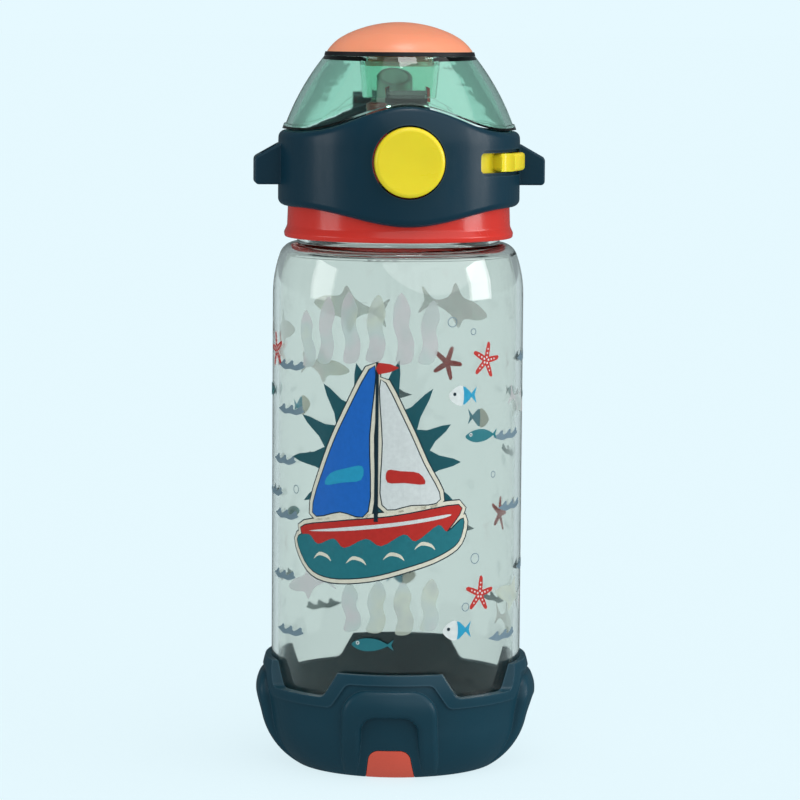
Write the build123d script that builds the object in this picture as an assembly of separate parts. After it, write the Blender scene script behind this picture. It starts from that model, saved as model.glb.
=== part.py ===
"""Kids water bottle with a push-button flip dome, in millimetres.

Z is up, the origin is the centre of the base, and the lid's push button faces -Y.
A place round the bottle is an angle from the front (-Y) towards the right side (+X).
Outlines that are turned about Z are drawn as (radius, height).
"""
from build123d import *
from math import acos, atan2, cos, degrees, radians, sin, sqrt
import os

# overall
TOP_Z = 219.4
FIT = 0.3               # free space between pieces that move past each other
TOUCH = 0.1             # space between faces that rest on each other

# bottle
BODY_R = 37.0
BODY_WALL = 1.9
BODY_FLOOR_Z = 3.2
HEEL_R = 13.0           # rounding between the bottle's floor and its wall
SHOULDER_Z = 139.5      # where the straight wall ends
SHOULDER_LONG_R = 36.0
SHOULDER_LONG_RISE = 12.0
SHOULDER_SHORT_R = 5.0
NECK_R = 29.0
NECK_WALL = 2.3
MOUTH_Z = 167.5

# screw thread between neck and lid
PITCH = 4.0
THREAD_TURNS = 0.75
THREAD_Z = 160.0        # start of the ridge on the neck
THREAD_DEPTH = 1.6
RIDGE_ROOT_W = 1.6
RIDGE_TIP_W = 0.9

# boot round the bottle's foot
BOOT_TURN = -7.5        # the boot sits turned a little against the lid
BOOT_SHELL_R = 39.3
BOOT_BULGE_R = 41.5
BOOT_BASE_R = 30.0
BOOT_BASE_Z = 0.4       # the foot pad stands this far below the boot
BOOT_WAIST_Z = 14.6
BOOT_RIM_Z = 24.7
RIM_BAND = 2.8          # width and height of the raised band along the rim
RIM_BAND_OUT = 0.6
RIM_ROUND = 2.6
TAB_TOP_Z = 31.9
TAB_TOP_R = 38.2
TAB_TOP_HALF = 14.6
TAB_ROOT_HALF = 19.4
TAB_REACH = 26.0        # half width of the outline a tab is cut with
BOSS_TOP_Z = 27.6
BOSS_HALF = 13.6
BOSS_FLARE = 0.8        # how much wider a boss is at its foot
PANEL_TOP_Z = 19.8
PANEL_HALF = 8.0
BOSS_OUTER_ROUND = 2.0
BOSS_INNER_ROUND = 1.6
FOOT_R = 27.6
FOOT_T = 1.6
TONGUE_TOP_Z = 9.6
TONGUE_TOP_HALF = 5.7
TONGUE_ROOT_HALF = 7.8
TONGUE_T = 1.3

# screw ring of the lid
RING_Z = 156.4
RING_R = 32.6
RING_BEAD_R = 33.8
RING_INNER_R = 31.2
RING_STEP_Z = 168.3
DECK_R = 30.9
DECK_Z = 169.2
DECK_TOP_Z = 171.4
PLUG_R = 26.2
PLUG_Z = 164.2

# collar
COLLAR_R = 35.6
COLLAR_INNER_R = 33.0
COLLAR_SIDE_TOP_Z = 187.7
COLLAR_SIDE_LOW_Z = 165.7
WAVE_RISE = 7.7         # how far the top edge rises at the front and the back
WAVE_DROP = 4.7         # how far the bottom edge drops there
WAVE_HALF = 31.0
COLLAR_ROUND = 2.1
FLOOR_RING_Z = DECK_TOP_Z + TOUCH
FLOOR_RING_T = 1.2

# strap lugs
LUG_X = 42.7
LUG_HALF = 5.5
LUG_LOW_Z = 171.9
LUG_HIGH_Z = 183.9
LUG_TIP_Z = 179.9
STRAP_GAP = 4.4
STRAP_BAR = 2.0

# push button and latch
BUTTON_R = 10.1
BUTTON_Z = 179.65
BUTTON_FACE_Y = -37.2
BUTTON_BACK_Y = -33.2
BUTTON_TRAVEL = 2.0
BUTTON_GAP = 0.5        # the dark line round the button
BUTTON_ROUND = 1.3
DISH_R = 120.0          # the button's face is very slightly hollow
DISH_DEPTH = 0.35
HOOK_HALF = 5.5
HOOK_Y = -24.0          # outer face of the hook's stem
HOOK_T = 1.4
HOOK_TOP_Z = 199.5
HOOK_TIP = 0.75
SPRING_Z = 177.0
BUTTON_SPRING_R = 2.2
BUTTON_SPRING_WIRE = 0.4
BAY_END_Y = -16.6
BAY_WALL = 1.5
BAY_TOP_Z = 181.0

# lock slider
SLOT_FROM = 38.0
SLOT_TO = 79.0
SLOT_LOW_Z = 176.2
SLOT_HIGH_Z = 182.0
SLOT_ROUND = 1.3
KNOB_FROM = 51.0
KNOB_R = 37.2
SCOOP_AT = 55.0         # the thumb scoop across the knob
SCOOP_R = 3.4
SCOOP_DEPTH = 2.4

# dome
DOME_WALL = 2.0
DOME_TOP_Z = 209.5
DOME_TOP_R = 22.2
DOME_GAP = 0.5          # between the dome's edge and the collar
LIP_H = 1.5
LIP_OUT = 0.5
CAP_TUBE_R = 10.1
SEAL_Z = 206.2          # lower end of the cap's tube
SKIRT_TOP_R = 12.0
SKIRT_END_R = 10.9
SKIRT_WALL = 1.4
SKIRT_END_Z = 197.0
RIB_Z = 187.9           # a thin rib that arches over the dome's back
RIB_RISE = 12.6
RIB_W = 0.9
RIB_OUT = 0.45
CATCH_Z = 195.9
CATCH_HALF = 6.3
CATCH_TIP_Y = -25.0
HINGE_Y = 33.6
HINGE_Z = 195.9
BARREL_R = 2.4
PIN_R = 1.0
KNUCKLE_HALF = 6.0
EAR_HALF = 12.0
SPRING_HALF = 3.0

# spout
SPOUT_X = -1.2
SPOUT_Y = 3.5
SPOUT_R = 5.4
SPOUT_WALL = 1.5
MOUTH_HIGH_Z = 205.9
MOUTH_TILT = 25.5
TOWER_TOP_Z = 193.5
FLANGE_T = 0.8

# air vent in the deck
VENT_Y = 21.5
VENT_R = 2.1


def turned(*edges):
    """A solid of revolution about Z from a closed outline of (radius, height) edges."""
    return revolve(Plane.XZ * make_face([*edges]), Axis.Z)


def turned_points(*points):
    """A solid of revolution about Z from straight runs between (radius, height) points."""
    return turned(Polyline(*points, close=True))


def block(x0, x1, y0, y1, z0, z1):
    """A box between three pairs of limits."""
    middle = ((x0 + x1) / 2, (y0 + y1) / 2, (z0 + z1) / 2)
    return Pos(*middle) * Box(x1 - x0, y1 - y0, z1 - z0)


def through_y(outline, y0, y1):
    """A prism along Y, from y0 to y1, of an outline drawn as (x, z)."""
    plane = Plane(origin=(0, y0, 0), x_dir=(1, 0, 0), z_dir=(0, -1, 0))
    return extrude(plane * make_face(outline), amount=y0 - y1)


def rod_x(x0, x1, y, z, radius):
    """A round rod along X."""
    return Pos((x0 + x1) / 2, y, z) * Rot(0, 90, 0) * Cylinder(radius, x1 - x0)


def rod_y(y0, y1, x, z, radius):
    """A round rod along Y."""
    return Pos(x, (y0 + y1) / 2, z) * Rot(90, 0, 0) * Cylinder(radius, y1 - y0)


def sector(r0, r1, z0, z1, a0, a1):
    """Part of a ring, between two angles from the front towards the right."""
    face = Plane.XZ * make_face(Polyline((r0, z0), (r1, z0), (r1, z1), (r0, z1), close=True))
    return Rot(0, 0, a0 - 90) * revolve(face, Axis.Z, a1 - a0)


def wave(edge_z, lift, far_z):
    """A slab through the whole collar whose edge is flat at the sides and lifts at the middle."""
    middle = Spline(
        (-WAVE_HALF, edge_z),
        (-WAVE_HALF / 2, edge_z + lift / 2),
        (0, edge_z + lift),
        (WAVE_HALF / 2, edge_z + lift / 2),
        (WAVE_HALF, edge_z),
        tangents=((1, 0), (1, 0)),
    )
    rest = Polyline(
        (WAVE_HALF, edge_z),
        (60, edge_z),
        (60, far_z),
        (-60, far_z),
        (-60, edge_z),
        (-WAVE_HALF, edge_z),
    )
    return through_y([middle, rest], 60, -60)


def above_wave(gap):
    """Everything higher than the collar's top edge by a gap."""
    return wave(COLLAR_SIDE_TOP_Z + gap, WAVE_RISE, 260)


def helix_ridge(z, root_r, tip_r):
    """One stretch of screw thread, with its root sunk into the wall that carries it."""
    path = Helix(pitch=PITCH, height=PITCH * THREAD_TURNS, radius=root_r, center=(0, 0, z))
    start = Plane(origin=path @ 0, x_dir=(1, 0, 0), z_dir=path % 0)
    inward = tip_r - root_r
    sunk = -0.3 if inward > 0 else 0.3
    outline = Polyline(
        (sunk, -RIDGE_ROOT_W / 2),
        (inward, -RIDGE_TIP_W / 2),
        (inward, RIDGE_TIP_W / 2),
        (sunk, RIDGE_ROOT_W / 2),
        close=True,
    )
    return sweep(start * make_face(outline), path=path, is_frenet=True)


# ---------------------------------------------------------------- bottle

def bottle_solid(inset, neck_r, top_z):
    """The bottle's outside, or with an inset its hollow."""
    lean = atan2(SHOULDER_LONG_RISE, sqrt(SHOULDER_LONG_R**2 - SHOULDER_LONG_RISE**2))
    long_r = SHOULDER_LONG_R - inset
    short_r = SHOULDER_SHORT_R - inset
    wall_r = BODY_R - inset
    centre_long = (BODY_R - SHOULDER_LONG_R, SHOULDER_Z)
    reach = SHOULDER_LONG_R - SHOULDER_SHORT_R
    centre_short = (centre_long[0] + reach * cos(lean), SHOULDER_Z + reach * sin(lean))
    floor_z = BODY_FLOOR_Z + inset
    heel = CenterArc((BODY_R - HEEL_R, BODY_FLOOR_Z + HEEL_R), HEEL_R - inset, 270, 90)
    long_arc = CenterArc(centre_long, long_r, 0, degrees(lean))
    short_arc = CenterArc(centre_short, short_r, degrees(lean), 90 - degrees(lean))
    return turned(
        Line((0, floor_z), heel @ 0),
        heel,
        Line(heel @ 1, (wall_r, SHOULDER_Z)),
        long_arc,
        short_arc,
        Polyline(short_arc @ 1, (neck_r, (short_arc @ 1).Y), (neck_r, top_z), (0, top_z), (0, floor_z)),
    )


def make_bottle_body():
    outside = bottle_solid(0, NECK_R, MOUTH_Z)
    hollow = bottle_solid(BODY_WALL, NECK_R - NECK_WALL, MOUTH_Z + 5)
    bead = turned_points(
        (NECK_R - 0.5, 156.9 - 1.7),
        (NECK_R + 0.9, 156.9 - 1.7),
        (NECK_R + 0.9, 156.9 - 0.9),
        (NECK_R - 0.5, 156.9 - 0.2),
    )
    ridge = helix_ridge(THREAD_Z, NECK_R, NECK_R + THREAD_DEPTH)
    return outside - hollow + bead + ridge


# ---------------------------------------------------------------- boot

def boot_outside(swell, out=0.0):
    """The boot's outer shape. Swell 0 is the plain shell, 1 the height of the bosses."""
    side = BOOT_SHELL_R + swell * (BOOT_BULGE_R - BOOT_SHELL_R) + out
    low = 34.6 + swell * 0.9 + out
    waist = side - 1.2
    curve = ThreePointArc((BOOT_BASE_R, BOOT_BASE_Z), (low, 5.0), (waist, BOOT_WAIST_Z))
    top = Spline(
        (waist, BOOT_WAIST_Z),
        (side, 23.5),
        (TAB_TOP_R + out, TAB_TOP_Z),
        tangents=(curve % 1, (-0.35, 1)),
    )
    return turned(
        Line((0, BOOT_BASE_Z), (BOOT_BASE_R, BOOT_BASE_Z)),
        curve,
        top,
        Polyline((TAB_TOP_R + out, TAB_TOP_Z), (0, TAB_TOP_Z), (0, BOOT_BASE_Z)),
    )


def arch_face(half, foot_half, top_z):
    """A rounded-top outline that reaches below the boot, drawn as (x, z)."""
    outline = Polyline((-foot_half, -5), (foot_half, -5), (half, top_z), (-half, top_z), close=True)
    face = make_face(outline)
    return fillet(face.vertices().sort_by(Axis.Y)[-2:], half * 0.55)


def all_round(shape):
    """The same shape at the front, the right, the back and the left."""
    return shape + Rot(0, 0, 90) * shape + Rot(0, 0, 180) * shape + Rot(0, 0, 270) * shape


def crest_edges(boss, by_panel):
    """The edges of a boss's outer face: those beside its panel, or those of the arch."""
    found = []
    for edge in boss.edges().filter_by(GeomType.BSPLINE):
        middle = edge.center()
        near_panel = abs(middle.X) < PANEL_HALF + 1.2 and middle.Z < PANEL_TOP_Z + 0.5
        if near_panel == by_panel and edge.bounding_box().max.Y < -24:
            found.append(edge)
    return found


def tongue_prism(grow):
    """The outline of the red tongue at the boot's front and back."""
    face = arch_face(TONGUE_TOP_HALF + grow, TONGUE_ROOT_HALF + grow, TONGUE_TOP_Z + grow)
    return through_y(face.edges(), 60, -60)


def tab_prism(drop):
    """The front tab's outline with the curves that run into the rim, pushed outwards."""
    rim_z = BOOT_RIM_Z - drop
    top_z = TAB_TOP_Z - drop + (0 if drop else 1)
    narrow = drop * 0.75
    outline = FilletPolyline(
        (-TAB_REACH, 5),
        (TAB_REACH, 5),
        (TAB_REACH, rim_z),
        (TAB_ROOT_HALF - narrow, rim_z),
        (TAB_TOP_HALF - narrow, top_z),
        (-TAB_TOP_HALF + narrow, top_z),
        (-TAB_ROOT_HALF + narrow, rim_z),
        (-TAB_REACH, rim_z),
        radius=(0, 0, 0, RIM_ROUND, RIM_ROUND, RIM_ROUND, RIM_ROUND, 0),
        close=True,
    )
    return through_y(outline.edges(), -20, -60)


def below_rim(drop):
    """Everything under the boot's rim and its four tabs, or under a line lower by a drop."""
    rim_z = BOOT_RIM_Z - drop
    plate = Pos(0, 0, (rim_z - 5) / 2) * Cylinder(60, rim_z + 5)
    return plate + all_round(tab_prism(drop))


def make_boss():
    """The raised arch at the front, with a soft crest, still solid back towards the axis."""
    arch = through_y(arch_face(BOSS_HALF, BOSS_HALF + BOSS_FLARE, BOSS_TOP_Z).edges(), -20, -60)
    panel = through_y(arch_face(PANEL_HALF, PANEL_HALF + BOSS_FLARE, PANEL_TOP_Z).edges(), -20, -60)
    boss = boot_outside(1) & (arch - panel)
    boss = fillet(crest_edges(boss, False), BOSS_OUTER_ROUND)
    return fillet(crest_edges(boss, True), BOSS_INNER_ROUND)


def make_boot():
    shell = boot_outside(0) & below_rim(0)
    band = (boot_outside(0, RIM_BAND_OUT) & below_rim(0)) - below_rim(RIM_BAND)
    shell += band - Cylinder(BODY_R - 0.4, 200)
    boss = make_boss()
    for turn in (0, 90, 180, 270):
        shell += Rot(0, 0, turn) * boss
    shell -= bottle_solid(-0.15, BODY_R, 100)
    recess_r = FOOT_R + FIT
    shell -= turned_points((0, -1), (recess_r, -1), (recess_r, FOOT_T + TOUCH), (0, FOOT_T + TOUCH))
    pocket = tongue_prism(0.15) - boot_inner_skin(TONGUE_T + TOUCH)
    shell -= pocket & block(-20, 20, -60, 60, -5, 30)
    return shell


def boot_inner_skin(depth):
    """The boot's plain shell, thinner by a depth, where the tongues' pockets end."""
    base_r = BOOT_BASE_R - depth
    floor_z = BOOT_BASE_Z + FOOT_T
    waist = BOOT_SHELL_R - 1.2 - depth
    curve = ThreePointArc((base_r, floor_z), (34.6 - depth, 5.0 + depth * 0.4), (waist, BOOT_WAIST_Z))
    return turned(
        Line((0, floor_z), (base_r, floor_z)),
        curve,
        Polyline(curve @ 1, (waist, 40), (0, 40), (0, floor_z)),
    )


def make_boot_foot():
    disc = Pos(0, 0, FOOT_T / 2) * Cylinder(FOOT_R, FOOT_T)
    disc = fillet(disc.edges().sort_by(Axis.Z)[0], 0.5)
    tongues = boot_outside(0.15) & tongue_prism(0)
    tongues -= boot_inner_skin(TONGUE_T)
    bridge = tongue_prism(0) & turned_points(
        (FOOT_R - 1, 0.3),
        (BOOT_BASE_R, BOOT_BASE_Z),
        (BOOT_BASE_R, FOOT_T),
        (FOOT_R - 1, FOOT_T),
    )
    return disc + tongues + bridge


# ---------------------------------------------------------------- lid, fixed pieces

def make_lid_gasket():
    low = MOUTH_Z + TOUCH
    high = DECK_Z - TOUCH
    return turned_points((PLUG_R + 0.4, low), (NECK_R + 0.9, low), (NECK_R + 0.9, high), (PLUG_R + 0.4, high))


def spout_axis(shape):
    """Moves a shape made about Z onto the spout's axis."""
    return Pos(SPOUT_X, SPOUT_Y, 0) * shape


def make_lid_base():
    outline = FilletPolyline(
        (RING_INNER_R, RING_Z),
        (RING_BEAD_R - 0.2, RING_Z),
        (RING_BEAD_R, RING_Z + 1.4),
        (RING_R + 0.3, RING_Z + 3.4),
        (RING_R, RING_STEP_Z),
        (DECK_R, RING_STEP_Z),
        (DECK_R, DECK_TOP_Z),
        (0, DECK_TOP_Z),
        (0, DECK_Z),
        (RING_INNER_R, DECK_Z),
        radius=(0.2, 0.6, 0.7, 1.5, 0.4, 0.2, 0.8, 0, 0, 0.2),
        close=True,
    )
    body = turned(outline)
    plug_top = DECK_Z + 0.5
    body += turned_points(
        (PLUG_R - 1.6, PLUG_Z),
        (PLUG_R - 0.3, PLUG_Z),
        (PLUG_R, plug_top),
        (PLUG_R - 1.8, plug_top),
    )
    body += helix_ridge(THREAD_Z - PITCH / 2, RING_INNER_R, RING_INNER_R - THREAD_DEPTH)
    tower = turned(
        Polyline((0, DECK_TOP_Z - 0.5), (14.0, DECK_TOP_Z - 0.5), (14.0, DECK_TOP_Z)),
        ThreePointArc((14.0, DECK_TOP_Z), (9.2, 177.0), (7.4, TOWER_TOP_Z - 6)),
        Polyline((7.4, TOWER_TOP_Z - 6), (6.9, TOWER_TOP_Z), (0, TOWER_TOP_Z), (0, DECK_TOP_Z - 0.5)),
    )
    body += spout_axis(tower)
    bore = turned_points((0, 160), (4.6, 160), (4.6, 186.0), (SPOUT_R + TOUCH, 186.0), (SPOUT_R + TOUCH, 200), (0, 200))
    body -= spout_axis(bore)
    vent = Pos(0, VENT_Y, DECK_TOP_Z) * Cylinder(VENT_R, 20)
    return body - vent


def make_vent_valve():
    flange = Pos(0, 0, DECK_TOP_Z + 0.6) * Cylinder(VENT_R + 1.3, 1.0)
    stem = Pos(0, 0, DECK_Z + 0.5) * Cylinder(VENT_R - 0.1, 4.4)
    lip = Pos(0, 0, DECK_Z - 2.4) * Cylinder(VENT_R + 0.5, 1.4)
    return Pos(0, VENT_Y, 0) * (flange + stem + lip)


def make_spout():
    """A soft oval tube with its mouth cut off at a slope towards the front."""
    low = 186.1
    tube = Pos(0, 0, (low + 210) / 2) * Cylinder(SPOUT_R, 210 - low)
    mouth = Plane(origin=(0, SPOUT_R, MOUTH_HIGH_Z), z_dir=(0, -sin(radians(MOUTH_TILT)), cos(radians(MOUTH_TILT))))
    tube = split(tube, bisect_by=mouth, keep=Keep.BOTTOM)
    tube += Pos(0, 0, TOWER_TOP_Z + TOUCH + FLANGE_T / 2) * Cylinder(SPOUT_R + 1.3, FLANGE_T)
    tube -= Cylinder(SPOUT_R - SPOUT_WALL, 500)
    tube = fillet(tube.edges().filter_by(GeomType.ELLIPSE), 0.6)
    return spout_axis(tube)


def make_spout_clamp():
    """The ring that holds the spout's flange down on the tower."""
    low = TOWER_TOP_Z + FLANGE_T + 2 * TOUCH
    return spout_axis(
        turned_points(
            (7.5, low - 4.2),
            (8.3, low - 4.2),
            (8.3, low + 0.5),
            (7.8, low + 1.0),
            (SPOUT_R + TOUCH, low + 1.0),
            (SPOUT_R + TOUCH, low),
            (7.5, low),
        )
    )


def make_spout_valve():
    """A thin cupped disc with a cross slit, held in the spout's bore."""
    disc = Pos(0, 0, 197.0) * Cylinder(SPOUT_R - SPOUT_WALL - 0.1, 0.8)
    slit = Pos(0, 0, 197.0) * Box(4.6, 0.2, 4)
    return spout_axis(disc - slit - Rot(0, 0, 90) * slit)


def collar_band():
    """The collar's wall before its edges are cut: straight, then leaning in under the dome."""
    lean_out = ThreePointArc((COLLAR_R, 184.0), (34.75, 190.4), (31.7, 197.2))
    lean_in = ThreePointArc((29.0, 197.2), (32.1, 190.4), (COLLAR_INNER_R, 184.0))
    return turned(
        Line((COLLAR_INNER_R, 155), (COLLAR_R, 155)),
        Line((COLLAR_R, 155), (COLLAR_R, 184.0)),
        lean_out,
        Line((31.7, 197.2), (29.0, 197.2)),
        lean_in,
        Line((COLLAR_INNER_R, 184.0), (COLLAR_INNER_R, 155)),
    )


def lug():
    """The strap lug on the right side, with its slot for a strap."""
    outline = FilletPolyline(
        (34.4, LUG_LOW_Z),
        (LUG_X, LUG_LOW_Z),
        (LUG_X, LUG_TIP_Z),
        (COLLAR_R, LUG_HIGH_Z),
        (34.4, LUG_HIGH_Z),
        radius=(0, 1.2, 1.6, 0, 0),
        close=True,
    )
    body = through_y([outline], LUG_HALF, -LUG_HALF)
    edges = body.edges().filter_by(lambda e: abs(abs(e.center().Y) - LUG_HALF) < 0.01)
    body = fillet(edges.filter_by(lambda e: e.center().X > COLLAR_R + 0.2), 0.7)
    gap_end = LUG_X - STRAP_BAR
    gap = block(gap_end - STRAP_GAP, gap_end, -LUG_HALF + 1.6, LUG_HALF - 1.6, 150, 200)
    return body - gap


def make_collar():
    band = collar_band() & wave(COLLAR_SIDE_TOP_Z, WAVE_RISE, 100)
    band -= wave(COLLAR_SIDE_LOW_Z, -WAVE_DROP, 100)
    band = fillet(band.edges().filter_by(outer_edge), COLLAR_ROUND)
    right = lug()
    band += right
    band += mirror(right, about=Plane.YZ)
    band -= Cylinder(COLLAR_INNER_R, 2 * FLOOR_RING_Z)
    ledge = turned_points(
        (DECK_R - 2.4, FLOOR_RING_Z),
        (COLLAR_INNER_R + 0.5, FLOOR_RING_Z),
        (COLLAR_INNER_R + 0.5, FLOOR_RING_Z + FLOOR_RING_T),
        (DECK_R - 2.4, FLOOR_RING_Z + FLOOR_RING_T),
    )
    front_floor = block(-11, 11, -31.5, BAY_END_Y, FLOOR_RING_Z, FLOOR_RING_Z + FLOOR_RING_T)
    band += ledge + front_floor
    band -= rod_y(-60, BUTTON_BACK_Y + BUTTON_TRAVEL + FIT, 0, BUTTON_Z, BUTTON_R + BUTTON_GAP)
    side = HOOK_HALF + FIT
    rail = side + BAY_WALL
    for low, high in ((side, rail), (-rail, -side)):
        band += block(low, high, -30.6, BAY_END_Y, FLOOR_RING_Z, BAY_TOP_Z)
    band += block(-rail, rail, BAY_END_Y - BAY_WALL, BAY_END_Y, FLOOR_RING_Z, BAY_TOP_Z)
    band -= slot_cut()
    return band + hinge_ears() - hinge_clearance()


def outer_edge(edge):
    """True for the four wave edges of the collar's outer wall."""
    place = edge @ 0.5
    return sqrt(place.X**2 + place.Y**2) > (place_limit(place.Z))


def place_limit(z):
    """A radius half way through the collar's wall at a height."""
    if z < 184:
        return (COLLAR_R + COLLAR_INNER_R) / 2
    return 34.3 - (z - 184) * 0.29


def slot_cut():
    """The lock slider's slot, with a bevelled recess round it."""
    recess = sector(COLLAR_R - 0.9, 60, SLOT_LOW_Z - 0.9, SLOT_HIGH_Z + 0.9, SLOT_FROM - 1.4, SLOT_TO + 0.4)
    slot = sector(20, 60, SLOT_LOW_Z, SLOT_HIGH_Z, SLOT_FROM, SLOT_TO)
    return round_ends(slot, SLOT_ROUND) + round_ends(recess, SLOT_ROUND + 0.9)


def round_ends(shape, radius):
    """Rounds the four edges of a ring's stretch that run straight out from the axis."""
    straight = shape.edges().filter_by(GeomType.LINE)
    return fillet(straight.filter_by(lambda e: abs((e @ 0).Z - (e @ 1).Z) < 0.001), radius)


def hinge_ears():
    """Two ears at the collar's back with the barrels that hold the pin."""
    ears = None
    for x0, x1 in ((KNUCKLE_HALF + FIT, EAR_HALF), (-EAR_HALF, -KNUCKLE_HALF - FIT)):
        side = Polyline(
            (COLLAR_R - 1.0, 180.0),
            (COLLAR_R + 0.1, 181.5),
            (HINGE_Y + BARREL_R, HINGE_Z),
            (HINGE_Y - 1.0, HINGE_Z + 1.0),
            (30.5, 193.0),
            (COLLAR_R - 1.0, 183.0),
            close=True,
        )
        web = Pos(x0, 0, 0) * extrude(Plane.YZ * make_face(side), amount=x1 - x0)
        ear = rod_x(x0, x1, HINGE_Y, HINGE_Z, BARREL_R) + web
        ears = ear if ears is None else ears + ear
    return ears


def hinge_clearance():
    """Room for the dome's knuckle, and the pin's hole."""
    room = rod_x(-KNUCKLE_HALF - FIT, KNUCKLE_HALF + FIT, HINGE_Y, HINGE_Z, BARREL_R + 0.6)
    return room + rod_x(-EAR_HALF + 1.2, EAR_HALF - 1.2, HINGE_Y, HINGE_Z, PIN_R)


def make_hinge_pin():
    return rod_x(-EAR_HALF + 1.3, EAR_HALF - 1.3, HINGE_Y, HINGE_Z, PIN_R - 0.02)


def make_hinge_spring():
    """A torsion spring round the pin, with a leg on the collar and one on the dome."""
    turns = 6
    pitch = 2 * (SPRING_HALF - 0.6) / turns
    coil_r = 1.65
    wire = 0.3
    path = Helix(pitch=pitch, height=pitch * turns, radius=coil_r)
    start = Plane(origin=path @ 0, x_dir=(1, 0, 0), z_dir=path % 0)
    coil = sweep(start * Circle(wire), path=path, is_frenet=True)
    coil = Pos(-SPRING_HALF + 0.6, HINGE_Y, HINGE_Z) * Rot(0, 90, 0) * coil
    return coil


# ---------------------------------------------------------------- button, latch and lock

def make_push_button():
    cap = rod_y(BUTTON_FACE_Y, BUTTON_BACK_Y, 0, BUTTON_Z, BUTTON_R)
    cap = fillet(cap.edges().filter_by(GeomType.CIRCLE).sort_by(Axis.Y)[0], BUTTON_ROUND)
    return cap - Pos(0, BUTTON_FACE_Y - DISH_R + DISH_DEPTH, BUTTON_Z) * Sphere(DISH_R)


def make_latch_hook():
    low = 173.4
    mid = 180.4
    base = block(-HOOK_HALF, HOOK_HALF, BUTTON_BACK_Y + TOUCH, HOOK_Y + HOOK_T, low, mid)
    base -= rod_y(HOOK_Y - 1.0, HOOK_Y + 10, 0, SPRING_Z, BUTTON_SPRING_R + BUTTON_SPRING_WIRE + 0.2)
    stem = block(-HOOK_HALF, HOOK_HALF, HOOK_Y, HOOK_Y + HOOK_T, mid - 0.4, HOOK_TOP_Z)
    nose = Polyline(
        (HOOK_Y + 0.1, HOOK_TOP_Z - 1.8),
        (HOOK_Y - HOOK_TIP, HOOK_TOP_Z - 1.8),
        (HOOK_Y - HOOK_TIP, HOOK_TOP_Z - 1.2),
        (HOOK_Y + 0.1, HOOK_TOP_Z),
        close=True,
    )
    return base + stem + extrude(Plane.YZ * make_face(nose), amount=HOOK_HALF, both=True)


def make_button_spring():
    """A compression spring between the latch and the end wall of its bay."""
    start_y = BAY_END_Y - BAY_WALL - TOUCH
    length = start_y - (HOOK_Y - 1.0) - 2 * BUTTON_SPRING_WIRE - 2 * TOUCH
    turns = 4.5
    path = Helix(pitch=length / turns, height=length, radius=BUTTON_SPRING_R)
    start = Plane(origin=path @ 0, x_dir=(1, 0, 0), z_dir=path % 0)
    coil = sweep(start * Circle(BUTTON_SPRING_WIRE), path=path, is_frenet=True)
    return Pos(0, start_y - BUTTON_SPRING_WIRE, SPRING_Z) * Rot(90, 0, 0) * coil


def make_lock_slider():
    inner_r = COLLAR_INNER_R - FIT
    plate = sector(inner_r - 1.4, inner_r, SLOT_LOW_Z - 1.2, SLOT_HIGH_Z + 1.2, SLOT_FROM - 5.0, SLOT_TO + 4.0)
    knob = sector(inner_r - 0.5, KNOB_R, SLOT_LOW_Z + FIT, SLOT_HIGH_Z - FIT, KNOB_FROM, SLOT_TO - 0.5)
    knob = round_ends(knob, SLOT_ROUND)
    rim = knob.edges().filter_by(lambda e: (e @ 0.5).X ** 2 + (e @ 0.5).Y ** 2 > (KNOB_R - 0.3) ** 2)
    knob = fillet(rim, 0.9)
    scoop_from = KNOB_R + SCOOP_R - SCOOP_DEPTH
    scoop = Rot(0, 0, SCOOP_AT) * Pos(0, -scoop_from, 179) * Cylinder(SCOOP_R, 20)
    return plate + (knob - scoop)


def make_slider_keeper():
    """The strip inside the collar that holds the slider's plate against the wall."""
    back_r = COLLAR_INNER_R - 2 * FIT - 1.4
    low = FLOOR_RING_Z + FLOOR_RING_T + TOUCH
    return sector(back_r - 1.0, back_r, low, SLOT_HIGH_Z + 2.2, SLOT_FROM - 6.0, SLOT_TO + 8.0)


# ---------------------------------------------------------------- dome

def dome_shell(inset, lower_z):
    """The dome's outside, or with an inset its hollow, down to a height."""
    foot = (34.0 - inset, 188.0)
    arc = ThreePointArc(foot, (28.9 - inset, 199.4), (DOME_TOP_R - inset, DOME_TOP_Z - 0.1))
    top = DOME_TOP_Z - inset * 0.9
    return turned(
        Line((foot[0], lower_z), foot),
        arc,
        Polyline(arc @ 1, (DOME_TOP_R - inset, top), (0, top), (0, lower_z), (foot[0], lower_z)),
    )


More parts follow.
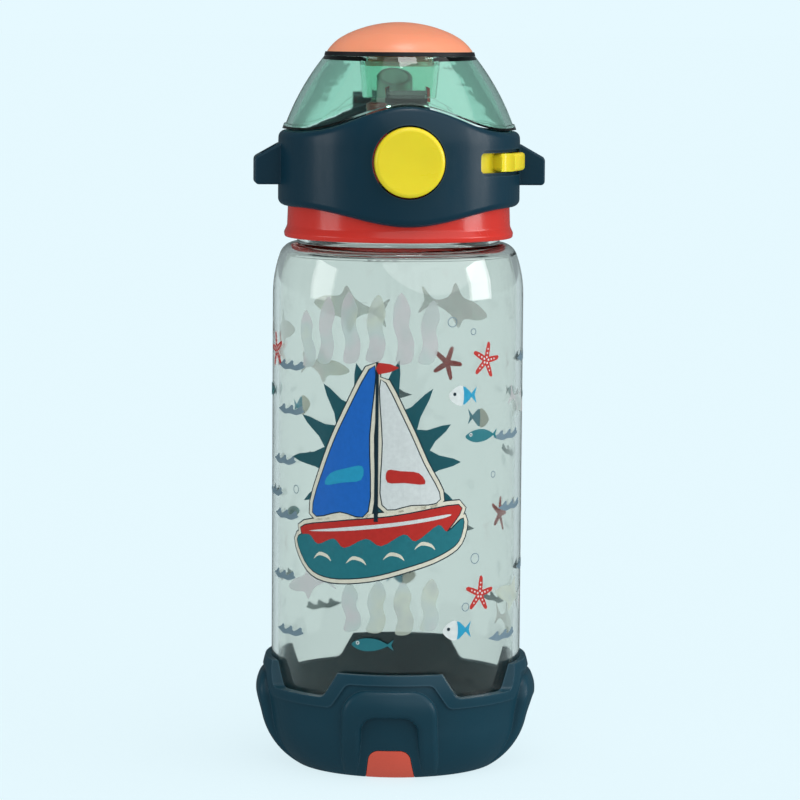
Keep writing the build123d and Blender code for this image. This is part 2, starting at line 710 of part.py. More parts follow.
def make_dome():
    hollow = dome_shell(DOME_WALL, 170)
    lip = dome_shell(-LIP_OUT, 175) - above_wave(DOME_GAP + LIP_H)
    shell = dome_shell(0, 175) + lip
    shell -= hollow & Pos(0, 0, 170 + (DOME_TOP_Z - 1.8 - 170) / 2) * Cylinder(60, DOME_TOP_Z - 1.8 - 170)
    skirt = turned_points(
        (SKIRT_TOP_R - SKIRT_WALL, DOME_TOP_Z - 0.9),
        (SKIRT_TOP_R, DOME_TOP_Z - 0.9),
        (SKIRT_END_R, SKIRT_END_Z),
        (SKIRT_END_R - SKIRT_WALL, SKIRT_END_Z),
    )
    shell += skirt
    shell -= Pos(0, 0, DOME_TOP_Z) * Cylinder(SKIRT_TOP_R - SKIRT_WALL, 6)
    shell = shell & above_wave(DOME_GAP)
    catch = block(-CATCH_HALF, CATCH_HALF, -32, CATCH_TIP_Y, CATCH_Z, CATCH_Z + 1.5)
    for x in (-CATCH_HALF, CATCH_HALF - 1.2):
        catch += block(x, x + 1.2, -32, CATCH_TIP_Y - 0.6, CATCH_Z, CATCH_Z + 5.5)
    shell += catch & dome_shell(0.5, 175) & above_wave(DOME_GAP)
    rib = wave(RIB_Z, RIB_RISE, 260) - wave(RIB_Z + RIB_W, RIB_RISE, 260)
    shell += (dome_shell(-RIB_OUT, 175) - dome_shell(0.3, 170)) & rib & block(-60, 60, 16, 60, 170, 260)
    ear_room = rod_x(KNUCKLE_HALF, EAR_HALF + FIT, HINGE_Y, HINGE_Z, BARREL_R + 0.6)
    shell -= ear_room + mirror(ear_room, about=Plane.YZ)
    for x0, x1 in ((SPRING_HALF, KNUCKLE_HALF), (-KNUCKLE_HALF, -SPRING_HALF)):
        knuckle = rod_x(x0, x1, HINGE_Y, HINGE_Z, BARREL_R)
        arm = Polyline(
            (HINGE_Y - 0.5, HINGE_Z - 1.5),
            (HINGE_Y + 1.9, HINGE_Z + 1.4),
            (28.4, 201.2),
            (28.0, 199.4),
            (HINGE_Y - 2.35, HINGE_Z + 0.6),
            close=True,
        )
        knuckle += Pos(x0, 0, 0) * extrude(Plane.YZ * make_face(arm), amount=x1 - x0)
        shell += knuckle
    shell -= rod_x(-KNUCKLE_HALF - 1, KNUCKLE_HALF + 1, HINGE_Y, HINGE_Z, PIN_R + 0.04)
    shell -= rod_x(-SPRING_HALF, SPRING_HALF, HINGE_Y, HINGE_Z, BARREL_R)
    return shell


def make_cap_gasket():
    low = DOME_TOP_Z + TOUCH
    return turned_points((12.4, low), (DOME_TOP_R, low), (DOME_TOP_R - 0.3, low + 1.1), (12.4, low + 1.1))


def make_dome_cap():
    """The cap on top of the dome, with a tube that plugs into the dome's skirt."""
    low = DOME_TOP_Z + TOUCH + 1.2
    side = ThreePointArc((21.4, low), (19.1, 213.5), (16.0, 215.6))
    crown_edge = (15.7, 215.8)
    rise = TOP_Z - crown_edge[1]
    crown_r = (crown_edge[0] ** 2 + rise**2) / (2 * rise)
    crown_from = degrees(acos(crown_edge[0] / crown_r))
    crown = CenterArc((0, TOP_Z - crown_r), crown_r, crown_from, 90 - crown_from)
    roof = ThreePointArc((CAP_TUBE_R, 215.6), (15.0, 214.0), (19.0, low))
    inside = Polyline(
        (0, TOP_Z),
        (0, 217.2),
        (CAP_TUBE_R - 1.5, 216.2),
        (CAP_TUBE_R - 1.5, SEAL_Z),
        (CAP_TUBE_R, SEAL_Z),
        (CAP_TUBE_R, 215.6),
    )
    return turned(side, Line((16.0, 215.6), crown_edge), crown, inside, roof, Line((19.0, low), (21.4, low)))


def make_spout_seal():
    """The soft disc in the end of the cap's tube, just over the spout's mouth."""
    disc = turned_points(
        (0, SEAL_Z + 0.1),
        (CAP_TUBE_R - 1.6, SEAL_Z + 0.1),
        (CAP_TUBE_R - 1.6, SEAL_Z + 1.6),
        (CAP_TUBE_R - 3.0, SEAL_Z + 1.6),
        (CAP_TUBE_R - 3.6, SEAL_Z + 1.0),
        (0, SEAL_Z + 1.0),
    )
    return disc


NODES = {
    "bottle_body": make_bottle_body,
    "lid_gasket": make_lid_gasket,
    "lid_base": make_lid_base,
    "collar": make_collar,
    "spout": make_spout,
    "spout_clamp": make_spout_clamp,
    "spout_valve": make_spout_valve,
    "vent_valve": make_vent_valve,
    "push_button": make_push_button,
    "latch_hook": make_latch_hook,
    "button_spring": make_button_spring,
    "lock_slider": make_lock_slider,
    "slider_keeper": make_slider_keeper,
    "hinge_pin": make_hinge_pin,
    "hinge_spring": make_hinge_spring,
    "dome": make_dome,
    "cap_gasket": make_cap_gasket,
    "dome_cap": make_dome_cap,
    "spout_seal": make_spout_seal,
}

os.makedirs("parts", exist_ok=True)
for name, make in NODES.items():
    export_step(make(), f"parts/{name}.step")
for name, make in (("boot", make_boot), ("boot_foot", make_boot_foot)):
    export_step(Rot(0, 0, BOOT_TURN) * make(), f"parts/{name}.step")
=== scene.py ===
"""Kids water bottle with a flip dome: the looks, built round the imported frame."""
import math

import bmesh
import bpy
from mathutils import Matrix, Vector
from mathutils.geometry import interpolate_bezier


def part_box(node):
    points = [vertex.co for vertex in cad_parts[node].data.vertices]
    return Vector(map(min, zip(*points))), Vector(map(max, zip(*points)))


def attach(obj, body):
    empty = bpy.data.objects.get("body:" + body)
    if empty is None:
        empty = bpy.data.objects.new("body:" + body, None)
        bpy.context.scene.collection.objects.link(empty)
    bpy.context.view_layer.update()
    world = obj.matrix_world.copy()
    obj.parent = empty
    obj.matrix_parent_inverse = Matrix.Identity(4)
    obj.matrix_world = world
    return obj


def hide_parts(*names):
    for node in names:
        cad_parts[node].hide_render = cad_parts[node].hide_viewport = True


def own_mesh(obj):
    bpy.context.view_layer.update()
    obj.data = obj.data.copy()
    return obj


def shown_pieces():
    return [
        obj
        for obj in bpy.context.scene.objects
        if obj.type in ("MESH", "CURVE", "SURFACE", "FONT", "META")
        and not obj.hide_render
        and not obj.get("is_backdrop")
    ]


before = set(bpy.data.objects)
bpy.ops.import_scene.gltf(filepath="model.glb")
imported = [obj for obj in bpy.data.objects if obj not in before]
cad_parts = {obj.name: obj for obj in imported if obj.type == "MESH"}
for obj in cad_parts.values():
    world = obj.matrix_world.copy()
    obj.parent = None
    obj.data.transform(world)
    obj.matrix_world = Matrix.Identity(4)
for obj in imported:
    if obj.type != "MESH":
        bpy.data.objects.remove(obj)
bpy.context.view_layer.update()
scene = bpy.context.scene
scene.view_settings.view_transform = "Standard"

# ------------------------------------------------------------------ camera
# A long lens a metre off, a little above the bottle and looking slightly down,
# turned so that the button sits just right of the middle.
VIEW_AZIMUTH = math.radians(-5.0)
VIEW_DOWN = math.radians(6.06)
VIEW_DISTANCE = 1.0737
AIM_HEIGHT = 0.1079
LEAN = math.radians(0.42)
SIDE_STEP = 0.0008
LENS = 162.9
SENSOR = 36.0

back = Vector((
    math.sin(VIEW_AZIMUTH) * math.cos(VIEW_DOWN),
    -math.cos(VIEW_AZIMUTH) * math.cos(VIEW_DOWN),
    math.sin(VIEW_DOWN),
))
camera_data = bpy.data.cameras.new("camera")
camera_data.lens = LENS
camera_data.sensor_width = SENSOR
camera = bpy.data.objects.new("camera", camera_data)
scene.collection.objects.link(camera)
facing = back.to_track_quat("Z", "Y").to_matrix().to_4x4()
stand = Vector((0, 0, AIM_HEIGHT)) + back * VIEW_DISTANCE + facing.col[0].xyz * SIDE_STEP
camera.matrix_world = Matrix.Translation(stand) @ facing @ Matrix.Rotation(LEAN, 4, "Z")
scene.camera = camera

# ------------------------------------------------------------------ floor and sky
# A wide pale floor that glows a little, so that the bottle leaves only a faint shadow.
# The sky behind it has the same colour. It lights the bottle at half that strength and
# shows only dimly in its gloss, as the walls of a room would.
SKY = (0.791, 0.947, 1.0)
SKY_LIGHT = 0.5
SKY_GLEAM = 0.14
SUN_SHARE = 0.45
GLOW = 0.86
FLOOR_HALF = 40.0

form = bmesh.new()
bmesh.ops.create_grid(form, x_segments=1, y_segments=1, size=FLOOR_HALF)
mesh = bpy.data.meshes.new("floor")
form.to_mesh(mesh)
form.free()
floor = bpy.data.objects.new("floor", mesh)
floor.visible_glossy = False
scene.collection.objects.link(floor)
floor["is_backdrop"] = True
floor_material = bpy.data.materials.new("floor")
floor_material.use_nodes = True
floor_shader = floor_material.node_tree.nodes["Principled BSDF"]
floor_colour = [c * (1 - GLOW) / (c * SKY_LIGHT + SUN_SHARE) for c in SKY]
floor_shader.inputs["Base Color"].default_value = (*floor_colour, 1)
floor_shader.inputs["Roughness"].default_value = 1.0
floor_shader.inputs["Specular IOR Level"].default_value = 0.0
floor_shader.inputs["Emission Color"].default_value = (*SKY, 1)
floor_shader.inputs["Emission Strength"].default_value = GLOW
mesh.materials.append(floor_material)

world = bpy.data.worlds.new("sky")
scene.world = world
world.use_nodes = True
sky_nodes, sky_links = world.node_tree.nodes, world.node_tree.links
seen_sky = sky_nodes["Background"]
seen_sky.inputs["Color"].default_value = (*SKY, 1)
lighting_sky = sky_nodes.new("ShaderNodeBackground")
lighting_sky.inputs["Color"].default_value = (*SKY, 1)
lighting_sky.inputs["Strength"].default_value = SKY_LIGHT
gleaming_sky = sky_nodes.new("ShaderNodeBackground")
gleaming_sky.inputs["Color"].default_value = (*SKY, 1)
gleaming_sky.inputs["Strength"].default_value = SKY_GLEAM
sky_path = sky_nodes.new("ShaderNodeLightPath")
bounced = sky_nodes.new("ShaderNodeMath")
bounced.operation = "SUBTRACT"
bounced.use_clamp = True
gleam_mix = sky_nodes.new("ShaderNodeMixShader")
sky_links.new(sky_path.outputs["Is Glossy Ray"], bounced.inputs[0])
sky_links.new(sky_path.outputs["Is Transmission Ray"], bounced.inputs[1])
sky_links.new(bounced.outputs["Value"], gleam_mix.inputs["Fac"])
sky_links.new(lighting_sky.outputs["Background"], gleam_mix.inputs[1])
sky_links.new(gleaming_sky.outputs["Background"], gleam_mix.inputs[2])
sky_mix = sky_nodes.new("ShaderNodeMixShader")
sky_links.new(sky_path.outputs["Is Camera Ray"], sky_mix.inputs["Fac"])
sky_links.new(gleam_mix.outputs["Shader"], sky_mix.inputs[1])
sky_links.new(seen_sky.outputs["Background"], sky_mix.inputs[2])
sky_links.new(sky_mix.outputs["Shader"], sky_nodes["World Output"].inputs["Surface"])

# ------------------------------------------------------------------ lamps
# One very broad sun from the front right, and three white soft boxes that light the
# bottle alone: one each side for its edges and one overhead for the dome and the bevels.
LAMP_GLEAM = 0.4
SUN_SPREAD = math.radians(90)
lit_pieces = bpy.data.collections.new("lit_pieces")


def aimed_lamp(name, kind, place, power, size):
    """A lamp that faces the middle of the bottle."""
    data = bpy.data.lights.new(name, kind)
    data.energy = power
    data.specular_factor = LAMP_GLEAM
    if kind == "SUN":
        data.angle = size
    else:
        data.size = size
    lamp = bpy.data.objects.new(name, data)
    scene.collection.objects.link(lamp)
    away = Vector(place) - Vector((0, 0, AIM_HEIGHT))
    turn = away.to_track_quat("Z", "Y").to_matrix().to_4x4()
    lamp.matrix_world = Matrix.Translation(place) @ turn
    return lamp


sun_place = Vector((0.5, -0.75, 1.1))
aimed_lamp("sun", "SUN", sun_place, SUN_SHARE * math.pi / sun_place.normalized().z, SUN_SPREAD)
for name, place, power, size in (
    ("right_box", (0.95, -0.22, 0.32), 3.2, 0.42),
    ("left_box", (-0.95, -0.18, 0.32), 1.7, 0.42),
    ("top_box", (0.06, -0.16, 1.0), 1.5, 0.24),
):
    box_lamp = aimed_lamp(name, "AREA", place, power, size)
    box_lamp.light_linking.receiver_collection = lit_pieces

# ------------------------------------------------------------------ bottle
# One blow-moulded bottle of clear, faintly green plastic, with the shoulder and the
# threaded neck in the same wall. The wall has a slow ripple left by the blowing, and
# the boot is pressed on its foot.


def clear_plastic(name, colour, roughness, ripple, ripple_scale):
    """Clear tinted plastic: a slow ripple, fine handling haze, and lamps shine through it."""
    material = bpy.data.materials.new(name)
    material.use_nodes = True
    nodes, links = material.node_tree.nodes, material.node_tree.links
    shader = nodes["Principled BSDF"]
    shader.inputs["Transmission Weight"].default_value = 1.0
    shader.inputs["IOR"].default_value = 1.47
    place = nodes.new("ShaderNodeTexCoord")
    slow = nodes.new("ShaderNodeTexNoise")
    slow.inputs["Scale"].default_value = ripple_scale
    slow.inputs["Detail"].default_value = 1.0
    tint = nodes.new("ShaderNodeValToRGB")
    tint.color_ramp.elements[0].position = 0.3
    tint.color_ramp.elements[0].color = (*(c * 0.985 for c in colour), 1)
    tint.color_ramp.elements[1].position = 0.7
    tint.color_ramp.elements[1].color = (*colour, 1)
    haze = nodes.new("ShaderNodeTexNoise")
    haze.inputs["Scale"].default_value = 70.0
    haze.inputs["Detail"].default_value = 6.0
    gloss = nodes.new("ShaderNodeMapRange")
    gloss.inputs["From Min"].default_value = 0.45
    gloss.inputs["From Max"].default_value = 0.8
    gloss.inputs["To Min"].default_value = roughness
    gloss.inputs["To Max"].default_value = roughness + 0.06
    bump = nodes.new("ShaderNodeBump")
    bump.inputs["Strength"].default_value = ripple
    bump.inputs["Distance"].default_value = 0.0005
    links.new(place.outputs["Object"], slow.inputs["Vector"])
    links.new(place.outputs["Object"], haze.inputs["Vector"])
    links.new(slow.outputs["Fac"], tint.inputs["Fac"])
    links.new(tint.outputs["Color"], shader.inputs["Base Color"])
    links.new(haze.outputs["Fac"], gloss.inputs["Value"])
    links.new(gloss.outputs["Result"], shader.inputs["Roughness"])
    links.new(slow.outputs["Fac"], bump.inputs["Height"])
    links.new(bump.outputs["Normal"], shader.inputs["Normal"])
    path = nodes.new("ShaderNodeLightPath")
    through = nodes.new("ShaderNodeBsdfTransparent")
    through.inputs["Color"].default_value = (*colour, 1)
    mix = nodes.new("ShaderNodeMixShader")
    links.new(path.outputs["Is Shadow Ray"], mix.inputs["Fac"])
    links.new(shader.outputs["BSDF"], mix.inputs[1])
    links.new(through.outputs["BSDF"], mix.inputs[2])
    links.new(mix.outputs["Shader"], nodes["Material Output"].inputs["Surface"])
    return material


def finish_node(node, material):
    """Gives a CAD node its finished material."""
    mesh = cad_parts[node].data
    mesh.materials.clear()
    mesh.materials.append(material)


finish_node("bottle_body", clear_plastic("clear_bottle", (0.830, 0.845, 0.805), 0.02, 0.05, 26.0))

# ------------------------------------------------------------------ print on the bottle
# Screen-printed inks on the outside of the wall: a little sailing boat on a wave in front
# of a splash, with starfish, small fish, ripples, bubbles and pale kelp all the way round.
# Each ink is a skin a few hundredths of a millimetre thick that lets some light through.
MM = 0.001
INK_T = 0.025 * MM
WALL_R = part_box("bottle_body")[1].x
# each ink's colour, and how many skins lie under it
INKS = {
    "cream": ((0.86, 0.80, 0.66), 1),
    "dark_teal": ((0.006, 0.100, 0.125), 2),
    "blue": ((0.012, 0.16, 0.60), 4),
    "cyan": ((0.02, 0.38, 0.60), 5),
    "teal": ((0.02, 0.21, 0.25), 6),
    "red": ((0.62, 0.030, 0.022), 5),
    "white": ((0.80, 0.82, 0.80), 6),
    "line": ((0.008, 0.03, 0.045), 7),
    "grey": ((0.21, 0.30, 0.36), 3),
    "pearl": ((0.50, 0.53, 0.52), 0),
}
ink_forms = {name: bmesh.new() for name in INKS}


def smooth_outline(points, steps):
    """A smooth closed outline through a few (across, up) points."""
    count = len(points)
    outline = []
    for i in range(count):
        before, here, there, after = (Vector(points[(i + k) % count]).to_3d() for k in (-1, 0, 1, 2))
        out_handle = here + (there - before) / 6
        in_handle = there - (after - here) / 6
        stretch = interpolate_bezier(here, out_handle, in_handle, there, steps + 1)
        outline += [p.to_2d() for p in stretch[:-1]]
    return outline


def grown(outline, by):
    """The outline moved outwards all round."""
    area = sum(a.x * b.y - b.x * a.y for a, b in zip(outline, outline[1:] + outline[:1]))
    side = 1 if area > 0 else -1
    moved = []
    for i, here in enumerate(outline):
        along = (outline[(i + 1) % len(outline)] - outline[i - 1]).normalized()
        moved.append(here + Vector((along.y, -along.x)) * by * side)
    return moved


def wrapped(shape, target, angle, height, turn, size, layer):
    """Lays a flat shape on the wall at an angle from the front and a height, as a closed skin."""
    bmesh.ops.rotate(shape, verts=shape.verts, matrix=Matrix.Rotation(math.radians(-turn), 3, "Y"))
    bmesh.ops.scale(shape, verts=shape.verts, vec=(size * MM,) * 3)
    bmesh.ops.triangulate(shape, faces=shape.faces)
    column = 1.6 * MM
    across = [v.co.x for v in shape.verts]
    for k in range(math.ceil(min(across) / column), math.ceil(max(across) / column)):
        everything = shape.verts[:] + shape.edges[:] + shape.faces[:]
        bmesh.ops.bisect_plane(
            shape, geom=everything, plane_co=(k * column, 0, 0), plane_no=(1, 0, 0), dist=1e-8
        )
    bmesh.ops.recalc_face_normals(shape, faces=shape.faces)
    top = bmesh.ops.extrude_face_region(shape, geom=shape.faces[:])
    raised = [v for v in top["geom"] if isinstance(v, bmesh.types.BMVert)]
    bmesh.ops.translate(shape, verts=raised, vec=(0, -INK_T * 0.8, 0))
    for vert in shape.verts:
        radius = WALL_R + INK_T * (layer + 0.5) - vert.co.y
        around = math.radians(angle) + vert.co.x / WALL_R
        vert.co = (radius * math.sin(around), -radius * math.cos(around), height * MM + vert.co.z)
    bmesh.ops.recalc_face_normals(shape, faces=shape.faces)
    scratch = bpy.data.meshes.new("scratch")
    shape.to_mesh(scratch)
    shape.free()
    target.from_mesh(scratch)
    bpy.data.meshes.remove(scratch)


def ink(name, outline, angle, height, turn=0, size=1, layer=None):
    """Prints one outline in one ink."""
    shape = bmesh.new()
    shape.faces.new([shape.verts.new((p[0], 0, p[1])) for p in outline])
    if layer is None:
        layer = INKS[name][1]
    wrapped(shape, ink_forms[name], angle, height, turn, size, layer)


def ring_ink(name, radius, width, angle, height):
    """Prints a thin ring, such as a bubble."""
    shape = bmesh.new()
    bmesh.ops.create_circle(shape, segments=20, radius=radius)
    bmesh.ops.rotate(shape, verts=shape.verts, matrix=Matrix.Rotation(math.pi / 2, 3, "X"))
    inner_rim = bmesh.ops.extrude_edge_only(shape, edges=shape.edges[:])
    inner = [v for v in inner_rim["geom"] if isinstance(v, bmesh.types.BMVert)]
    bmesh.ops.scale(shape, verts=inner, vec=(1 - width / radius,) * 3)
    wrapped(shape, ink_forms[name], angle, height, 0, 1, INKS[name][1])


def disc(x, z, radius, sides=12):
    """The outline of a small round spot."""
    turns = (2 * math.pi * k / sides for k in range(sides))
    return [Vector((x + radius * math.cos(a), z + radius * math.sin(a))) for a in turns]


def starfish(angle, height, turn):
    """A red five-armed starfish with rows of pale spots."""
    star = []
    for arm in range(5):
        middle = math.pi / 2 + arm * 2 * math.pi / 5
        for offset, reach in ((-0.62, 1.5), (-0.12, 4.9), (0.12, 5.2), (0.62, 1.5)):
            star.append((reach * math.cos(middle + offset), reach * math.sin(middle + offset)))
    ink("red", smooth_outline(star, 2), angle, height, turn)
    for arm in range(5):
        middle = math.pi / 2 + arm * 2 * math.pi / 5
        for reach in (0.9, 2.1, 3.3):
            spot = disc(reach * math.cos(middle), reach * math.sin(middle), 0.36 - reach * 0.03, 8)
            ink("white", spot, angle, height, turn)


def small_fish(angle, height):
    """A slim fish with a forked tail and a plain eye."""
    body = [(-5.5, 0), (-2.5, 1.7), (1.5, 1.8), (5.0, 0.4), (5.0, -0.3), (1.5, -1.6), (-2.5, -1.7)]
    ink("teal", smooth_outline(body, 3), angle, height)
    ink("teal", [(4.8, 0.05), (6.9, 1.7), (6.2, 0.1), (6.9, -1.5)], angle, height)
    ink("white", disc(-3.6, 0.5, 0.55), angle, height, layer=8)
    ink("line", disc(-3.6, 0.5, 0.25, 8), angle, height, layer=9)


def fan_fish(angle, height):
    """A short fish with a pale head and a bright fan of a tail."""
    head = [(-4.4, 0), (-2.4, 2.3), (0.2, 2.6), (0.2, -2.6), (-2.4, -2.3)]
    flank = [(0, 2.6), (1.9, 1.7), (3.3, 0.3), (3.3, -0.3), (1.9, -1.7), (0, -2.6)]
    ink("white", smooth_outline(head, 3), angle, height)
    ink("cyan", smooth_outline(flank, 2), angle, height)
    ink("cyan", [(2.6, 0), (5.0, 2.4), (4.3, 0), (5.0, -2.4)], angle, height)
    ink("line", disc(-2.5, 0.5, 0.5), angle, height, layer=8)


RIPPLE_PITCH = 4.6
RIPPLE_LENGTH = 3 * RIPPLE_PITCH


def ripple(angle, height):
    """A short run of three rounded wave crests."""
    crest = ((0, 0.1), (1.7, 0.7), (3.0, 1.5), (3.9, 1.2), (3.8, 0.5))
    top = [(RIPPLE_PITCH * k + dx, z) for k in range(3) for dx, z in crest]
    bottom = [(RIPPLE_LENGTH, -0.1), (10.2, -1.3), (6.6, -1.1), (3.3, -1.4), (-0.8, -0.2)]
    outline = [(x - RIPPLE_LENGTH / 2, z) for x, z in smooth_outline(top + bottom, 3)]
    ink("grey", outline, angle, height)


def kelp(angle, height, length, turn):
    """A broad pale leaf of kelp that sways once along its length."""
    half = length / 2
    right = [(2.6, -half), (3.9, -half * 0.45), (2.7, half * 0.1), (3.4, half * 0.6)]
    left = [(-1.2, half * 0.75), (-1.9, half * 0.15), (-0.8, -half * 0.4), (-1.6, -half)]
    ink("pearl", smooth_outline(right + [(1.2, half + 1)] + left, 4), angle, height, turn)


def big_fish(angle, height, turn, size):
    """The pale silhouette of a large swimming fish."""
    body = [
        (-13, 0), (-8, 2.6), (-2, 3.6), (1.5, 7.5), (3.2, 3.0), (8, 1.2), (12.5, 4.6),
        (11.2, 0.4), (12.5, -3.8), (8, -0.6), (2, -2.4), (-1.5, -6.0), (-3.4, -3.0), (-9, -2.2),
    ]
    ink("pearl", smooth_outline(body, 4), angle, height, turn, size)


# the boat, from the splash behind it to the wave in front
BOAT_ANGLE = -14.0
BOAT_HEIGHT = 91.5
spikes = (
    27, 17, 26, 16, 28, 17, 31, 20, 30, 19, 29, 17, 30, 18,
    32, 17, 29, 16, 27, 16, 26, 17, 29, 20, 31, 20, 28, 17,
)
splash = []
for k, reach in enumerate(spikes):
    a = 2 * math.pi * k / len(spikes)
    splash.append((reach * 0.93 * math.cos(a), 2 + reach * 0.98 * math.sin(a)))
ink("dark_teal", smooth_outline(splash, 3), BOAT_ANGLE, BOAT_HEIGHT, layer=0)


def outlined(name, outline):
    """One shape of the boat with its cream edge and the dark line round that."""
    for edge_ink, by, layer in (("line", 1.75, 1), ("cream", 1.4, 2), ("line", 0.32, 3)):
        ink(edge_ink, grown(outline, by), BOAT_ANGLE, BOAT_HEIGHT, layer=layer)
    ink(name, outline, BOAT_ANGLE, BOAT_HEIGHT)


def on_boat(name, points, steps, layer=None):
    """A smooth mark on the boat."""
    ink(name, smooth_outline(points, steps), BOAT_ANGLE, BOAT_HEIGHT, layer=layer)


main_sail = [(-2.5, -12), (-2.2, 10), (-0.8, 30), (-9, 16), (-15.5, 2), (-20.5, -13.5), (-11, -12.5)]
fore_sail = [(1.8, -10), (1.8, 8), (1.2, 26), (8, 14), (13.5, 2), (18.5, -8.5), (10, -10)]
hull = [
    (-25.5, -18.5), (-12, -15.5), (4, -13.5), (24.5, -10.5),
    (21.5, -17), (15, -22), (0, -24.5), (-17, -24),
]
wave = [
    (-27, -22), (-22, -20), (-18.5, -22.5), (-13, -20.5), (-9.5, -23), (-3, -20.0),
    (1.5, -22.0), (8, -18.5), (11.5, -20.5), (18, -16), (21, -18.0), (26, -14.5),
    (24.5, -21), (18, -25), (9, -28), (-2, -31), (-14, -32), (-22, -29.5),
]
for shape_name, shape in (("blue", main_sail), ("white", fore_sail), ("red", hull), ("teal", wave)):
    outlined(shape_name, smooth_outline(shape, 4))
on_boat("cyan", [(-4.5, -3), (-4.2, 1), (-9, 0.2), (-14.2, -1.6), (-16, -5), (-10, -4)], 3)
on_boat("red", [(3.2, -3.5), (3.2, 0), (7, -0.2), (12.2, -0.8), (14, -4), (8, -3.6)], 3, 8)
ink("line", [(-0.7, -15), (0.5, -15), (0.5, 31), (-0.3, 31)], BOAT_ANGLE, BOAT_HEIGHT)
on_boat("red", [(0.4, 31), (0.4, 27.6), (6.4, 29.6)], 2, 8)
on_boat("white", [(-22, -19), (-8, -16.8), (8, -14.8), (21, -13), (20, -14), (7, -16), (-9, -18)], 3, 7)
curl = ((-3, -1), (-1, 1.2), (2, 0.6), (3.2, -1.2), (1.6, -0.2), (-1, 0.2))
for x, z in ((-17, -26), (-6, -26.5), (5, -25), (14, -22)):
    on_boat("cream", [(x + dx, z + dz) for dx, dz in curl], 3, 7)

# the small things round it, each at an angle from the front and a height
for angle, height, turn in (
    (38.6, 122.5, -12), (36, 54.4, -6), (-77.6, 123.7, 10),
    (150, 116, 20), (205, 60, -15), (112, 72, 5),
):
    starfish(angle, height, turn)
for angle, height in ((25.3, 112.7), (23.2, 44.4), (130, 100), (172, 50), (230, 104)):
    fan_fish(angle, height)
for angle, height in ((35.5, 100.7), (-16.5, 40.6), (95, 110), (160, 85), (240, 72), (265, 111)):
    small_fish(angle, height)
for angle, height in (
    (56, 100), (60, 79), (54, 41), (-62, 120), (-62, 107), (-62, 42), (-68, 92), (-66, 76),
    (-68, 58), (78, 122), (80, 60), (100, 92), (118, 46), (145, 66), (180, 106), (215, 42),
    (222, 88), (250, 54), (280, 82),
):
    ripple(angle, height)
for angle, height, length, turn in (
    (-51, 128, 15, 6), (-40, 131, 18, -4), (-28, 132, 19, 3), (-16, 132, 18, -3), (-4, 132, 19, 4),
    (8, 131, 17, -6), (-27, 51, 13, 4), (-15, 51.5, 14, -4), (-3, 51, 14, 2), (9, 52, 14, -3),
):
    kelp(angle, height, length, turn)
for angle, height, turn, size in (
    (145, 133, 8, 1.0), (200, 133, -172, 1.05), (175, 71, 172, 1.0),
    (100, 40, 6, 0.8), (255, 128, 4, 0.9), (70, 109, 160, 0.7),
    (62, 52, -14, 0.8), (-48, 57, 12, 0.75), (215, 115, 10, 0.8),
):
    big_fish(angle, height, turn, size)
for angle, height, radius in (
    (20, 134, 1.5), (31, 131, 1.0), (33, 65, 1.6), (24, 72, 1.1),
    (-57, 84, 1.3), (44, 89, 1.0), (28, 51, 1.3),
):
    ring_ink("grey", radius, 0.25, angle, height)


def ink_material(name, colour):
    """Satin printing ink: a fine screen grain, and some of the light behind it comes through."""
    material = bpy.data.materials.new("ink_" + name)
    material.use_nodes = True
    nodes, links = material.node_tree.nodes, material.node_tree.links
    shader = nodes["Principled BSDF"]
    shader.inputs["Specular IOR Level"].default_value = 0.3
    place = nodes.new("ShaderNodeTexCoord")
    grain = nodes.new("ShaderNodeTexNoise")
    grain.inputs["Scale"].default_value = 900.0
    grain.inputs["Detail"].default_value = 3.0
    tint = nodes.new("ShaderNodeValToRGB")
    ramp = tint.color_ramp
    ramp.elements[0].position = 0.3
    ramp.elements[0].color = (*(c * 0.88 for c in colour), 1)
    ramp.elements[1].position = 0.7
    ramp.elements[1].color = (*colour, 1)
    if name == "pearl":
        grain.inputs["Scale"].default_value = 50.0
        sheens = ((0.38, (0.60, 0.64, 0.52)), (0.47, (0.52, 0.60, 0.58)), (0.55, (0.63, 0.56, 0.58)))
        for position, sheen in sheens:
            ramp.elements.new(position).color = (*sheen, 1)
    gloss = nodes.new("ShaderNodeMapRange")
    gloss.inputs["To Min"].default_value = 0.32
    gloss.inputs["To Max"].default_value = 0.46
    glow = nodes.new("ShaderNodeBsdfTranslucent")
    glow.inputs["Color"].default_value = (*(0.45 + 0.4 * c for c in colour), 1)
    mix = nodes.new("ShaderNodeMixShader")
    mix.inputs["Fac"].default_value = 0.32
    links.new(place.outputs["Object"], grain.inputs["Vector"])
    links.new(grain.outputs["Fac"], tint.inputs["Fac"])
    links.new(grain.outputs["Fac"], gloss.inputs["Value"])
    links.new(tint.outputs["Color"], shader.inputs["Base Color"])
    links.new(gloss.outputs["Result"], shader.inputs["Roughness"])
    links.new(shader.outputs["BSDF"], mix.inputs[1])
    links.new(glow.outputs["BSDF"], mix.inputs[2])
    if name != "pearl":
        links.new(mix.outputs["Shader"], nodes["Material Output"].inputs["Surface"])
        return material
    faint = nodes.new("ShaderNodeBsdfTransparent")
    veil = nodes.new("ShaderNodeMixShader")
    veil.inputs["Fac"].default_value = 0.45
    links.new(faint.outputs["BSDF"], veil.inputs[1])
    links.new(mix.outputs["Shader"], veil.inputs[2])
    links.new(veil.outputs["Shader"], nodes["Material Output"].inputs["Surface"])
    return material


for name, (colour, _) in INKS.items():
    mesh = bpy.data.meshes.new("print_" + name)
    ink_forms[name].to_mesh(mesh)
    ink_forms[name].free()
    mesh.materials.append(ink_material(name, colour))
    piece = bpy.data.objects.new("print_" + name, mesh)
    scene.collection.objects.link(piece)
    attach(piece, "bottle")

